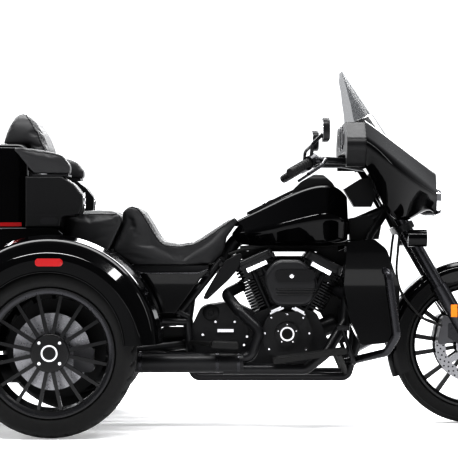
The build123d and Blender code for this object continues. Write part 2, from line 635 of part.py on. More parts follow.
# Lamps of the rear: side markers, tail lamps and the strips on the luggage box
MARKER_Z = 669
marker = side_prism([
    (REAR_AXLE_X - 50, MARKER_Z - 15, 13), (REAR_AXLE_X + 48, MARKER_Z - 15, 13),
    (REAR_AXLE_X + 48, MARKER_Z + 15, 13), (REAR_AXLE_X - 50, MARKER_Z + 15, 13),
], FENDER_SIDE_Y - 30, WIDTH / 2)
marker = (marker - fender_core).solids().sort_by(SortBy.VOLUME)[-1]
TAIL_LAMP_Z = 520
tail_lamp = rod((FENDER_AXIS_X - FENDER_R - 24, 560, TAIL_LAMP_Z), (FENDER_AXIS_X - 300, 560, TAIL_LAMP_Z), 52)
tail_lamp = (tail_lamp - fender_core).solids().sort_by(Axis.X)[0]
strip = block(BOX_REAR_X + 60, -797, BOX_HALF_W + RUN_GAP, BOX_HALF_W + 6, BOX_LOW_Z + 10, BOX_LOW_Z + 26)
save("rear_lamps", Compound(children=[
    *pair(marker).solids(), *pair(tail_lamp).solids(), *pair(strip).solids()]))

# Luggage box: open tub with a fixed front part, and the lid hinged on the left
BOX_CORNER = 48
LID_SEAT = 0.5


def box_plan(x0, x1, inset, corner_front, corner_rear):
    half = BOX_HALF_W - inset
    return [(x0 + inset, -half, corner_rear), (x1 - inset, -half, corner_front),
            (x1 - inset, half, corner_front), (x0 + inset, half, corner_rear)]


tub = top_prism(box_plan(BOX_REAR_X, BOX_FRONT_X, 0, BOX_CORNER, BOX_CORNER), BOX_LOW_Z, BOX_SEAM_Z)
tub -= top_prism(box_plan(BOX_REAR_X, LID_FRONT_X, SHELL, 10, BOX_CORNER - SHELL),
                 BOX_LOW_Z + SHELL, BOX_SEAM_Z + 1)
front_part = top_prism(box_plan(LID_FRONT_X, BOX_FRONT_X, 0, BOX_CORNER, 2), BOX_SEAM_Z, BOX_TOP_Z)
front_part = fillet(front_part.faces().sort_by(Axis.Z)[-1].edges().filter_by(Axis.X), 30)
tub += front_part
for x in LID_HINGE_X:
    lug = rod((x - 15, LID_HINGE_Y, BOX_SEAM_Z), (x + 15, LID_HINGE_Y, BOX_SEAM_Z), HINGE_LUG_R - 2)
    lug += block(x - 15, x + 15, BOX_HALF_W - 1, LID_HINGE_Y, BOX_SEAM_Z - 14, BOX_SEAM_Z - 2)
    tub += lug - rod((x - 20, LID_HINGE_Y, BOX_SEAM_Z), (x + 20, LID_HINGE_Y, BOX_SEAM_Z), HINGE_PIN_R + RUN_GAP)
save("luggage_box", tub)
lid_front = LID_FRONT_X - LID_GAP
lid_low = BOX_SEAM_Z + LID_SEAT
lid = top_prism(box_plan(BOX_REAR_X, lid_front, 0, 2, BOX_CORNER), lid_low, BOX_TOP_Z)
lid = fillet(lid.faces().sort_by(Axis.Z)[-1].edges().filter_by(Axis.X), 30)
lid -= top_prism(box_plan(BOX_REAR_X, lid_front, SHELL, 2, BOX_CORNER - SHELL), lid_low - 1, BOX_TOP_Z - 30)
for x in LID_HINGE_X:
    lid += rod((x - 28, LID_HINGE_Y, BOX_SEAM_Z), (x + 28, LID_HINGE_Y, BOX_SEAM_Z), HINGE_PIN_R)
    for edge in (-22, 22):
        lid += block(x + edge - 5, x + edge + 5, BOX_HALF_W - 1, LID_HINGE_Y + 5, lid_low, lid_low + 14)
save("luggage_lid", lid)

# Backrest, arm pads and speaker pods on the front of the luggage box
back_pad = side_prism([
    (-886, BOX_TOP_Z + RUN_GAP, 8), (-838, 1256, 18), (-812, 1269, 12), (-772, 1242, 30), (-735, 1182, 40),
    (-706, 1112, 20), (-702, 1032, 14), (BOX_FRONT_X + RUN_GAP, 1032, 4),
    (BOX_FRONT_X + RUN_GAP, BOX_TOP_Z + RUN_GAP, 0),
], -196, 196)
back_pad = back_pad & front_prism([
    (-196, 1000, 20), (196, 1000, 20), (182, 1272, 76), (-182, 1272, 76),
], -900, -690)
save("backrest", back_pad)
arm_pad = side_prism([
    (-846, 1120, 8), (-811, 1096, 20), (-744, 1014, 20), (-599, 1008, 12), (-599, 1045, 15),
    (-631, 1084, 20),
    (-678, 1096, 20),
], -BOX_HALF_W - PAD_WIDTH, -BOX_HALF_W - RUN_GAP)
save("arm_pads", pair(arm_pad))
POD_ROUND = 9
pod = side_prism([
    (BOX_FRONT_X + RUN_GAP, 1002, 4), (-632, 1002, 20), (-585, 971, 20), (-550, 928, 20), (-550, 881, 20),
    (-564, 850, 10), (-632, 838, 14), (-640, 800, 10), (BOX_FRONT_X + RUN_GAP, 800, 4),
], -BOX_HALF_W - PAD_WIDTH, -BOX_HALF_W + PAD_WIDTH)
pod = fillet(pod.faces().sort_by(Axis.Y)[0].edges(), POD_ROUND)
save("speaker_pods", pair(pod))

# Shock absorbers between the beam and the frame's cross tube
shock_foot_x = REAR_AXLE_X + BEAM_R + SHOCK_R + RUN_GAP
shock = rod((shock_foot_x, SHOCK_Y, REAR_TYRE_R), (SHOCK_X, SHOCK_Y, SHOCK_TOP_Z), SHOCK_R)
shock = (shock - frame - rear_axle).solids().sort_by(SortBy.VOLUME)[-1]
save("shock_absorbers", pair(shock))

# Engine guard, lower fairings, boards, pedals
guard_line = [
    (600, -70, 654), (608, -320, 654), (646, -GUARD_Y, 622), (678, -GUARD_Y, 381),
    (640, -GUARD_Y + 20, 312),
    (490, -140, 256),
]
guard = pipe(guard_line, GUARD_R, 36)
save("engine_guard", pair((guard - frame).solids().sort_by(SortBy.VOLUME)[-1]))
LOWER_Y = 386
LOWER_WALL = 7
lower_outline = [
    (486, 744, 14), (590, 756, 20), (640, 716, 60), (690, 570, 90), (688, 420, 60), (640, 348, 30),
    (540, 340, 20),
    (500, 430, 60), (472, 570, 60),
]
lower_inner = [
    (496, 734, 8), (586, 746, 14), (634, 712, 54), (682, 569, 84), (680, 423, 54), (636, 357, 24),
    (546, 350, 14),
    (508, 432, 54), (481, 570, 54),
]
lower = side_prism(lower_outline, -LOWER_Y, -236)
lower -= side_prism(lower_inner, -LOWER_Y + LOWER_WALL, -200)
lower -= pipe(guard_line, GUARD_R + RUN_GAP, 36)
lower = lower.solids().sort_by(SortBy.VOLUME)[-1]
save("lower_fairings", pair(lower))


def board(x0, z0, x1, z1, thick):
    """Slanted board in side view, low end first."""
    return side_prism([(x0, z0 - thick / 2, 4), (x1, z1 - thick / 2, 4), (x1, z1 + thick / 2, 8),
                       (x0, z0 + thick / 2, 8)], -BOARD_Y - BOARD_HALF_W, -BOARD_Y + BOARD_HALF_W)


rider_board = board(197, 276, 486, 316, 22) + rod((458, -BOARD_Y + 20, 304), (494, -132, 212), 12)
rider_board = (rider_board - frame).solids().sort_by(SortBy.VOLUME)[-1]
rear_board = board(-44, 340, 60, 336, 24) + rod((-44, -BOARD_Y + 40, 338), (-136, -146, 336), 11)
rear_board = (rear_board - frame).solids().sort_by(SortBy.VOLUME)[-1]
save("footboards", Compound(children=[*pair(rider_board).solids(), *pair(rear_board).solids()]))
pedal = pipe([(519, -RAIL_Y, 262), (519, -300, 262), (472, -300, 402)], 9, 24)
pedal += block(448, 494, -345, -268, 396, 412)
pedal = (pedal - frame - guard).solids().sort_by(SortBy.VOLUME)[-1]
save("foot_pedals", pair(pedal))

# Steering: yokes and stem
low_clamp = head_low - axis_dir * (CLAMP_THICK + 6)
top_clamp = head_top + axis_dir * 6


def clamp(origin):
    plate = Plane(origin=origin, x_dir=(0, 1, 0), z_dir=axis_dir)
    return extrude(plate * Pos(0, -CLAMP_AHEAD) * RectangleRounded(2 * FORK_SPREAD + 84, 78, 34), CLAMP_THICK)


def leg_rod(z0, z1, radius, side=-1):
    return rod((fork_x(z0), side * FORK_SPREAD, z0), (fork_x(z1), side * FORK_SPREAD, z1), radius)


LEG_TOP_Z = 1004
SLIDER_TOP_Z = 566
AXLE_LUG_R = 36
yoke = rod(low_clamp, top_clamp + axis_dir * 5, STEM_R) + clamp(low_clamp) + clamp(top_clamp)
for side in SIDES:
    yoke -= leg_rod(500, LEG_TOP_Z + 60, FORK_TUBE_R + RUN_GAP, side)
save("fork_yoke", yoke)

# Fork legs with the front axle through their lugs
leg = leg_rod(SLIDER_TOP_Z - 40, LEG_TOP_Z, FORK_TUBE_R) + leg_rod(FRONT_TYRE_R - 10, SLIDER_TOP_Z, FORK_SLIDER_R)
leg += rod((FRONT_AXLE_X, -FORK_SPREAD - 26, FRONT_TYRE_R), (FRONT_AXLE_X, -FORK_SPREAD + 32, FRONT_TYRE_R),
           AXLE_LUG_R)
FENDER_BOSS_Z = 560
FRONT_FENDER_HALF = 84
leg += rod((fork_x(FENDER_BOSS_Z), -FORK_SPREAD, FENDER_BOSS_Z),
           (fork_x(FENDER_BOSS_Z), -FRONT_FENDER_HALF - RUN_GAP, FENDER_BOSS_Z), 16)
caliper_x = FRONT_AXLE_X - 106
caliper_z = FRONT_TYRE_R + 66
leg += side_prism([
    (FRONT_AXLE_X - 10, FRONT_TYRE_R - 20, 6), (caliper_x, caliper_z - 30, 8),
    (caliper_x, caliper_z + 30, 8),
    (FRONT_AXLE_X - 30, FRONT_TYRE_R + 90, 6),
], -FORK_SPREAD - 6, -FORK_SPREAD + 8)
legs = leg + mirrored(leg)
legs += rod((FRONT_AXLE_X, -FORK_SPREAD - 34, FRONT_TYRE_R), (FRONT_AXLE_X, FORK_SPREAD + 34, FRONT_TYRE_R),
            FRONT_AXLE_R)
save("fork_legs", legs)

# Front brake calipers straddling the discs
front_caliper = side_prism([
    (caliper_x - 46, caliper_z - 62, 16), (caliper_x + 26, caliper_z - 50, 16),
    (caliper_x + 44, caliper_z + 40, 16),
    (caliper_x - 20, caliper_z + 62, 20),
], -FORK_SPREAD + 8 + RUN_GAP - 46 + 32, -36)
front_caliper -= Pos(*FRONT_HUB) * ring(FRONT_DISC_R + PAD_GAP, 30, -FRONT_HUB_HALF - PAD_GAP,
                                         -FRONT_HUB_HALF + DISC_THICK + PAD_GAP)
front_caliper = (front_caliper - legs).solids().sort_by(SortBy.VOLUME)[-1]
save("front_calipers", pair(front_caliper))

# Front fender: deep skirted turned shell between the legs
FRONT_FENDER_R = 348
FRONT_SKIRT_R = 270
front_fender_points = []
for inset, order in ((0, 1), (5, -1)):
    half = FRONT_FENDER_HALF - inset
    top = FRONT_FENDER_R - inset
    edge = [(FRONT_SKIRT_R, -half, 0), (326 - inset / 2, -half, 30 - inset), (top, -half + 34, 36 - inset),
            (top, half - 34, 36 - inset), (326 - inset / 2, half, 30 - inset), (FRONT_SKIRT_R, half, 0)]
    front_fender_points += edge[::order]
front_fender = turned(front_fender_points, (0, 0, 0), 172)
front_fender = Pos(*FRONT_HUB) * Rot(0, -202, 0) * front_fender
save("front_fender", front_fender)

# Handlebar on risers, grips, switch housings and levers
BAR_Z = 1042
bar_x = steer_x(BAR_Z)
GRIP_IN = (358, -330, 1070)
GRIP_END = (262, -450, 1014)
bar_line = [(bar_x, 0, BAR_Z), (bar_x, -96, BAR_Z), (500, -215, 1066), GRIP_IN, GRIP_END]
half_bar = pipe(bar_line, BAR_R, 50)
top_face = top_clamp + axis_dir * CLAMP_THICK
riser = rod((steer_x(top_face.Z), -52, top_face.Z), (bar_x, -52, BAR_Z), 17)
riser += rod((bar_x, -70, BAR_Z), (bar_x, -34, BAR_Z), 21)
handlebar = half_bar + riser
handlebar = handlebar + mirrored(handlebar) - yoke - legs
save("handlebar", handlebar.solids().sort_by(SortBy.VOLUME)[-1])
grip_dir = (Vector(*GRIP_END) - Vector(*GRIP_IN)).normalized()
grip_end = Vector(*GRIP_END) + grip_dir * 4
grip = rod(grip_end - grip_dir * GRIP_LENGTH, grip_end, GRIP_R) - half_bar
save("grips", pair(grip))
control_out = grip_end - grip_dir * (GRIP_LENGTH + RUN_GAP)
control = rod(control_out - grip_dir * 40, control_out, 25)
lever_foot = control_out - grip_dir * 16 + Vector(34, 0, 6)
control += rod(control_out - grip_dir * 16, lever_foot, 14)
control += pipe([lever_foot, lever_foot + Vector(26, -20, 0), lever_foot + Vector(10, -80, -22),
                 lever_foot + Vector(-50, -150, -62)], 7, 18)
control = (control - half_bar - grip).solids().sort_by(SortBy.VOLUME)[-1]
save("hand_controls", pair(control))

# Mirrors on bent stems
MIRROR = (399, -448, 1180)
mirror_head = front_prism([
    (MIRROR[1] - 72, MIRROR[2] - 44, 36), (MIRROR[1] + 66, MIRROR[2] - 48, 34),
    (MIRROR[1] + 72, MIRROR[2] + 40, 30),
    (MIRROR[1] - 66, MIRROR[2] + 48, 40),
], MIRROR[0] - 13, MIRROR[0] + 13)
mirror_head = fillet(mirror_head.faces().sort_by(Axis.X)[-1].edges(), 10)
stem_foot = control_out - grip_dir * 20 + Vector(0, 0, 25)
mirror_piece = mirror_head + pipe([stem_foot - Vector(0, 0, 12), stem_foot + Vector(4, -8, 40),
                                   (MIRROR[0] + 6, MIRROR[1] + 20, MIRROR[2])], 7, 20)
mirror_piece = (mirror_piece - control).solids().sort_by(SortBy.VOLUME)[-1]
save("mirrors", pair(mirror_piece))

# Fairing: outer shell lofted from the nose back to the wings
# x, bottom z, bottom half width, widest z, half width, top z, top half width, corner radius
FAIRING_SECTIONS = (
    (562, 1036, 330, 1132, 405, 1226, 290, 44),
    (612, 946, 262, 1098, 386, 1194, 262, 46),
    (680, 844, 196, 1050, 342, 1148, 222, 46),
    (760, 836, 138, 996, 262, 1094, 162, 42),
    (868, 848, 66, 936, 108, 1024, 58, 30),
)
FAIRING_WALL = 8
SHIELD_BEND_R = 423
SHIELD_THICK = 4
SHIELD_LOW_Z = 1120
SHIELD_LEAN = 0.67   # run back for each unit of rise
BROW_THICK = 8
BRACKET_R = 8        # arms from the shell to the ends of the top clamp
BRACKET_IN = 157


def shield_band(outer_r, inner_r, length):
    """Leaning bent sheet between two radii, from the shield's foot upwards."""
    foot_x = 612 + (1256 - SHIELD_LOW_Z) * SHIELD_LEAN - SHIELD_BEND_R
    arc = Plane.XY.offset(SHIELD_LOW_Z) * Pos(foot_x, 0) * (Circle(outer_r) - Circle(inner_r))
    return extrude(arc, amount=length, dir=Vector(-SHIELD_LEAN, 0, 1))


def fairing_loft(grow, cut_x):
    ends = (FAIRING_SECTIONS[0], FAIRING_SECTIONS[-1])
    sections = [six_sided(row[0] - (cut_x if row in ends else 0), *row[1:], grow=grow) for row in FAIRING_SECTIONS]
    return loft(sections)


fairing_solid = fairing_loft(0, 0)
fairing = fairing_solid - fairing_loft(-FAIRING_WALL, FAIRING_WALL)
lamp_hole = rod((700, 0, HEADLAMP_Z), (920, 0, HEADLAMP_Z), HEADLAMP_R + RUN_GAP)
fairing -= lamp_hole
fairing -= block(540, 736, -166, 166, 800, 1060)
for side in SIDES:
    fairing -= leg_rod(500, LEG_TOP_Z + 60, FORK_TUBE_R + 3, side)
fairing -= rod(head_low - axis_dir * 60, head_top + axis_dir * 60, HEAD_TUBE_R + STEER_GAP)
brow = shield_band(SHIELD_BEND_R + BROW_THICK, SHIELD_BEND_R + RUN_GAP, 180) & front_prism([
    (-286, 1130, 0), (286, 1130, 0), (286, 1226, 20), (150, 1258, 150), (-150, 1258, 150), (-286, 1226, 20),
], 380, 800)
fairing += brow - fairing_loft(-FAIRING_WALL, FAIRING_WALL)
bracket_foot = top_clamp + axis_dir * (CLAMP_THICK / 2)
for side in SIDES:
    bracket_end = (bracket_foot.X + 54, side * 300, bracket_foot.Z)
    bracket = rod((bracket_foot.X, side * BRACKET_IN, bracket_foot.Z), bracket_end, BRACKET_R)
    fairing += bracket & fairing_loft(-FAIRING_WALL / 2, 0)
fairing = (fairing - yoke).solids().sort_by(SortBy.VOLUME)[-1]
save("fairing_outer", fairing)

# Inner fairing with the dash, open below for the bars
INNER_REAR_X = 486
row = FAIRING_SECTIONS[0]
inner = extrude(six_sided(INNER_REAR_X, *row[1:], grow=-6), row[0] - INNER_REAR_X - RUN_GAP)
inner -= block(INNER_REAR_X - 1, row[0] + 1, -262, 262, 1000, 1104)
inner = (inner - handlebar - fairing).solids().sort_by(SortBy.VOLUME)[-1]
save("fairing_inner", inner)

# Headlamp: bucket with a domed lens
headlamp = Rot(0, 0, -90) * turned([
    (0, -110, 0), (40, -110, 20), (HEADLAMP_R, -40, 10), (HEADLAMP_R, 14, 5), (HEADLAMP_R - 8, 20, 0),
    (0, 26, 0),
], (0, 0, 0))
headlamp = Pos(870, 0, HEADLAMP_Z) * headlamp
save("headlamp", headlamp)

# Windshield: bent sheet cut to a round top
shield = shield_band(SHIELD_BEND_R, SHIELD_BEND_R - SHIELD_THICK, 400)
shield = shield & front_prism([
    (-292, 1100, 0), (292, 1100, 0), (286, 1226, 80), (214, 1330, 120), (134, 1412, 90), (60, 1441, 60),
    (-60, 1441, 60), (-134, 1412, 90), (-214, 1330, 120), (-286, 1226, 80),
], 380, 800)
shield = shield - fairing_solid - inner
shield = shield.solids().sort_by(Axis.Z)[-1]
save("windshield", shield)

# Turn signals on stalks from the fork legs
SIGNAL_Z = 758
SIGNAL_Y = 204
signal_x = fork_x(SIGNAL_Z)
signal = rod((signal_x, -SIGNAL_Y, SIGNAL_Z), (signal_x, -FORK_SPREAD, SIGNAL_Z), 12)
signal += rod((signal_x - 22, -SIGNAL_Y, SIGNAL_Z), (signal_x + 52, -SIGNAL_Y, SIGNAL_Z), 34)
signal = (signal - legs).solids().sort_by(SortBy.VOLUME)[-1]
save("turn_signals", pair(signal))
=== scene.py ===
import json
import math

import bpy
import bmesh
from mathutils import Matrix, Vector
from mathutils.bvhtree import BVHTree


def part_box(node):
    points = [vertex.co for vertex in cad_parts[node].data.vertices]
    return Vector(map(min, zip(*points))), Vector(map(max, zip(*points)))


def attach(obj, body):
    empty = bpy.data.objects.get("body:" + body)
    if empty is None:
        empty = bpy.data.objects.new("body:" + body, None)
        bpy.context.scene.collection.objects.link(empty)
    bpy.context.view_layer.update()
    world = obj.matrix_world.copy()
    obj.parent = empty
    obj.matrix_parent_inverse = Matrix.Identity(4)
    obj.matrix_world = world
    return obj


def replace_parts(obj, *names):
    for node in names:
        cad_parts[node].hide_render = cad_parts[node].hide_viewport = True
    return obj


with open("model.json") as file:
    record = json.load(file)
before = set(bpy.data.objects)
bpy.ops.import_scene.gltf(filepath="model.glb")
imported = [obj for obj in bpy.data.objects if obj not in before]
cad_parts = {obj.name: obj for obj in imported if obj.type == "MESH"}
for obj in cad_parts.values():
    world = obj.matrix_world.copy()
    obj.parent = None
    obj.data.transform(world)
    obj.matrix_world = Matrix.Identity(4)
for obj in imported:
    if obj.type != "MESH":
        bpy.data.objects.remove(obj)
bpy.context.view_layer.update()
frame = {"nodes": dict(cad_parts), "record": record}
nodes = frame["nodes"]


# Shader helpers
class Val:
    """A shader socket that takes part in Python sums."""

    def __init__(self, shader, socket):
        self.shader, self.socket = shader, socket

    def math(self, operation, other):
        return self.shader.node("ShaderNodeMath", {"operation": operation}, {0: self, 1: other})

    def __add__(self, other): return self.math("ADD", other)
    def __radd__(self, other): return self.math("ADD", other)
    def __mul__(self, other): return self.math("MULTIPLY", other)
    def __rmul__(self, other): return self.math("MULTIPLY", other)


class Shader:
    def __init__(self, name, **constants):
        self.material = bpy.data.materials.new(name)
        self.material.use_nodes = True
        self.tree = self.material.node_tree
        self.bsdf = self.tree.nodes["Principled BSDF"]
        self.set(**constants)

    def put(self, socket, value):
        if isinstance(value, Val):
            self.tree.links.new(value.socket, socket)
        elif socket.type == "RGBA":
            socket.default_value = (*value, 1.0)
        else:
            socket.default_value = value

    def node(self, kind, settings=None, inputs=None, out=0):
        made = self.tree.nodes.new(kind)
        for key, value in (settings or {}).items():
            setattr(made, key, value)
        for key, value in (inputs or {}).items():
            self.put(made.inputs[key], value)
        return Val(self, made.outputs[out])

    def set(self, **inputs):
        for key, value in inputs.items():
            self.put(self.bsdf.inputs[key.replace("_", " ")], value)
        return self

    def place(self):
        return self.node("ShaderNodeTexCoord", out="Object")

    def noise(self, scale, detail=2.0):
        return self.node("ShaderNodeTexNoise", {}, {"Vector": self.place(), "Scale": scale, "Detail": detail})

    def grain(self, height, strength):
        bump = {"Height": height, "Strength": strength, "Distance": 0.001}
        return self.set(Normal=self.node("ShaderNodeBump", {}, bump))


def finish(name, spread, smoothest, roughest, **constants):
    """A finish whose roughness wanders between two values; a larger spread wanders faster."""
    s = Shader(name, **constants)
    return s.set(Roughness=smoothest + (roughest - smoothest) * s.noise(spread))


# Lenses glow faintly in their own colour: on the lamps this is their own glow, on the fork reflectors it is a
# painted glow
def lens(name, colour):
    return finish(name, 60.0, 0.08, 0.2, Base_Color=colour, Coat_Weight=0.35, Coat_Roughness=0.03,
                  Specular_IOR_Level=0.3, Emission_Color=colour, Emission_Strength=0.02)


for packed in list(bpy.data.materials):
    bpy.data.materials.remove(packed)

# Paint and coatings
gloss_black = finish("gloss_black", 9.0, 0.07, 0.14, Base_Color=(0.002, 0.002, 0.0023), Coat_Weight=0.26,
                     Coat_Roughness=0.02, Specular_IOR_Level=0.06)
gloss_black.grain(gloss_black.noise(260.0, 1.0), 0.02)
satin_black = finish("satin_black", 40.0, 0.3, 0.42, Base_Color=(0.01, 0.01, 0.011), Specular_IOR_Level=0.25)
engine_black = finish("engine_black", 60.0, 0.34, 0.48, Base_Color=(0.011, 0.011, 0.012),
                      Specular_IOR_Level=0.3)
engine_black.grain(engine_black.noise(700.0, 3.0), 0.12)
fin_black = finish("fin_black", 50.0, 0.26, 0.4, Base_Color=(0.02, 0.02, 0.021), Metallic=0.3)
wheel_black = finish("wheel_black", 24.0, 0.16, 0.26, Base_Color=(0.006, 0.006, 0.0065), Coat_Weight=0.25,
                     Coat_Roughness=0.05, Specular_IOR_Level=0.2)
caliper_grey = finish("caliper_grey", 70.0, 0.35, 0.5, Base_Color=(0.05, 0.05, 0.054), Metallic=0.3)
# Bare metal
bright_trim = finish("bright_trim", 14.0, 0.05, 0.12, Base_Color=(0.82, 0.82, 0.84), Metallic=1.0)
graphite = finish("graphite", 30.0, 0.2, 0.32, Base_Color=(0.03, 0.03, 0.033), Metallic=0.7)
disc_steel = Shader("disc_steel", Base_Color=(0.24, 0.24, 0.25), Metallic=1.0)
disc_steel.set(Roughness=0.2 + 0.18 * disc_steel.noise(120.0, 4.0))
# Rubber, plastic and leather
tyre_rubber = finish("tyre_rubber", 80.0, 0.58, 0.75, Base_Color=(0.008, 0.008, 0.008), Specular_IOR_Level=0.25)
tyre_rubber.grain(tyre_rubber.noise(900.0), 0.1)
soft_rubber = finish("soft_rubber", 90.0, 0.5, 0.7, Base_Color=(0.01, 0.01, 0.01), Specular_IOR_Level=0.25)
dark_plastic = finish("dark_plastic", 50.0, 0.34, 0.46, Base_Color=(0.007, 0.007, 0.0075),
                      Specular_IOR_Level=0.22)
seat_leather = finish("seat_leather", 25.0, 0.42, 0.55, Base_Color=(0.014, 0.014, 0.015),
                      Specular_IOR_Level=0.4)
pebbles = seat_leather.node("ShaderNodeTexVoronoi", {}, {"Vector": seat_leather.place(), "Scale": 420.0})
seat_leather.grain(pebbles, 0.16)
# Lenses and screen
red_lens = lens("red_lens", (0.3, 0.006, 0.008))
amber_lens = lens("amber_lens", (0.75, 0.2, 0.01))
clear_lens = finish("clear_lens", 40.0, 0.04, 0.1, Base_Color=(0.75, 0.78, 0.82), Coat_Weight=1.0,
                    Metallic=0.25)
tinted_screen = Shader("tinted_screen", Base_Color=(0.02, 0.022, 0.025), IOR=1.03, Roughness=0.16)
tinted_screen.set(Alpha=0.4 + 0.04 * tinted_screen.noise(3.0))
tinted_screen.material.surface_render_method = "BLENDED"

LOOKS = {s.material.name: s.material for s in (
    gloss_black, satin_black, engine_black, fin_black, wheel_black, caliper_grey, bright_trim, graphite,
    disc_steel, tyre_rubber, soft_rubber, dark_plastic, seat_leather, red_lens, amber_lens, clear_lens,
    tinted_screen)}
DARK_RODS = ("foot_pedals", "pushrod_tubes")
for part in frame["record"]["subparts"]:
    mesh = nodes[part["node"]].data
    mesh.materials.clear()
    mesh.materials.append(LOOKS["satin_black" if part["node"] in DARK_RODS else part["material_slot"]])


# Mesh helpers
def add_mesh(name, verts, faces, look, body):
    mesh = bpy.data.meshes.new(name)
    mesh.from_pydata([tuple(v) for v in verts], [], faces)
    made = bpy.data.objects.new(name, mesh)
    bpy.context.scene.collection.objects.link(made)
    mesh.materials.append(LOOKS[look])
    mesh.polygons.foreach_set("use_smooth", [True] * len(mesh.polygons))
    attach(made, body)
    return made


def tree_of(mesh):
    return BVHTree.FromPolygons([v.co for v in mesh.vertices], [p.vertices for p in mesh.polygons])


def hit(node, start, way):
    """Where a line from start, in millimetres, first meets a piece, and the way its skin faces there."""
    place, normal, _, _ = tree_of(nodes[node].data).ray_cast(Vector(start) / 1000, Vector(way))
    return place * 1000, normal


def corners(node):
    """Low and high corner of a piece, in millimetres."""
    low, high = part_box(node)
    return low * 1000, high * 1000


def middle(node):
    low, high = corners(node)
    return (low + high) / 2


# Tyres, in metres: turned skins whose tread grooves and slanted cuts go into the crown
TYRE_TURNS, CROWN_STEPS = 288, 44
BEAD_INSET, CROWN_INSET = 0.0125, 0.012
CROWN_FLAT, CROWN_DROP = 0.35, 0.017
CUT_SHARE, CUT_DEPTH, CUT_START = 0.14, 0.8, 0.3


def tyre_skin(node, body, lip_r, bead_r, rim_w, grooves, groove_w, depth, cuts, slant):
    low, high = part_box(node)
    centre = (low + high) / 2
    radius, half = (high.z - low.z) / 2, (high.y - low.y) / 2
    seat, rise = rim_w / 2 - BEAD_INSET, radius - lip_r
    wall = [(bead_r, seat), (lip_r + 0.001, seat)]
    wall += [(lip_r + share * rise, half - inset) for share, inset in (
        (0.10, 0.006), (0.25, 0.001), (0.45, 0.0), (0.60, 0.0015), (0.70, 0.005))]
    crown_half = half - CROWN_INSET
    crown = []
    for k in range(CROWN_STEPS + 1):
        y = crown_half * (1 - 2 * k / CROWN_STEPS)
        past_flat = max(0.0, (abs(y) / crown_half - CROWN_FLAT) / (1 - CROWN_FLAT))
        crown.append((radius - CROWN_DROP * past_flat ** 2.2, y))
    profile = wall + crown + [(r, -y) for r, y in reversed(wall)]

    def tread(turn, y):
        if abs(y) >= crown_half * 0.999:
            return 0.0
        if any(abs(abs(y) - g * half) < groove_w / 2 for g in grooves):
            return depth
        phase = (turn * cuts / TYRE_TURNS + slant * abs(y) / half) % 1.0
        return depth * CUT_DEPTH if phase < CUT_SHARE and abs(y) > CUT_START * half else 0.0

    verts, faces, n = [], [], len(profile)
    for i in range(TYRE_TURNS):
        a = 2 * math.pi * i / TYRE_TURNS
        for r, y in profile:
            r -= tread(i, y)
            verts.append((centre.x + r * math.cos(a), centre.y + y, centre.z + r * math.sin(a)))
        j = (i + 1) % TYRE_TURNS
        faces += [(i * n + k, i * n + k + 1, j * n + k + 1, j * n + k) for k in range(n - 1)]
    made = add_mesh(node + "_skin", verts, faces, "tyre_rubber", body)
    made.data.set_sharp_from_angle(angle=math.radians(32))
    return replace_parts(made, node)


tyre_skin("front_tyre", "front_wheel_set", lip_r=0.252, bead_r=0.240, rim_w=0.112,
          grooves=(0.0, 0.34), groove_w=0.006, depth=0.005, cuts=24, slant=1.5)
for side in ("right", "left"):
    tyre_skin("rear_tyre_" + side, "rear_wheel_set_" + side, lip_r=0.246, bead_r=0.229, rim_w=0.194,
              grooves=(0.12, 0.46), groove_w=0.009, depth=0.006, cuts=36, slant=1.1)

# Cushions, in metres: the seat forms remeshed, rounded and puffed out by a short cloth run
CUSHION_VOXEL, CUSHION_CAP = 0.006, 0.007
CUSHION_PRESSURE, CUSHION_FRAMES = 4.0, 20
HELD_RISE = 0.02
cushions = []
for node, rounds in (("rider_seat", 14), ("passenger_seat", 14), ("backrest", 12), ("arm_pads", 8)):
    made = bpy.data.objects.new(node + "_cushion", nodes[node].data.copy())
    bpy.context.scene.collection.objects.link(made)
    remesh = made.modifiers.new("remesh", "REMESH")
    remesh.mode = "VOXEL"
    remesh.voxel_size = CUSHION_VOXEL
    soften = made.modifiers.new("soften", "SMOOTH")
    soften.iterations = rounds
    bpy.context.view_layer.update()
    made.data = bpy.data.meshes.new_from_object(made.evaluated_get(bpy.context.evaluated_depsgraph_get()))
    made.modifiers.clear()
    cushions.append((node, made))
for node, made in cushions:
    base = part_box(node)[0].z + HELD_RISE
    held = made.vertex_groups.new(name="held")
    held.add([v.index for v in made.data.vertices if v.normal.z < -0.25 or v.co.z < base], 1.0, "REPLACE")
    cloth = made.modifiers.new("cloth", "CLOTH")
    cloth.settings.use_pressure = True
    cloth.settings.uniform_pressure_force = CUSHION_PRESSURE
    cloth.settings.effector_weights.gravity = 0.0
    cloth.settings.vertex_group_mass = "held"
    cloth.collision_settings.use_collision = False
    cloth.point_cache.frame_start, cloth.point_cache.frame_end = 1, CUSHION_FRAMES
for step in range(1, CUSHION_FRAMES + 1):
    bpy.context.scene.frame_set(step)
depsgraph = bpy.context.evaluated_depsgraph_get()
for node, made in cushions:
    puffed = [v.co.copy() for v in made.evaluated_get(depsgraph).data.vertices]
    made.modifiers.clear()
    for v, out in zip(made.data.vertices, puffed):
        move = out - v.co
        v.co = v.co + move * min(1.0, CUSHION_CAP / max(move.length, 1e-9))
bpy.context.scene.frame_set(1)
for node, made in cushions:
    made.data.materials.clear()
    made.data.materials.append(LOOKS["seat_leather"])
    made.data.polygons.foreach_set("use_smooth", [True] * len(made.data.polygons))
    divide = made.modifiers.new("divide", "SUBSURF")
    divide.levels = divide.render_levels = 1
    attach(made, "chassis")
    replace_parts(made, node)


def round_axis(axis, turns):
    """The axis as a unit vector, and the directions that stand out from it."""
    along = Vector(axis).normalized()
    u = along.orthogonal().normalized()
    w = along.cross(u)
    return along, [u * math.cos(a) + w * math.sin(a) for a in (2 * math.pi * i / turns for i in range(turns))]


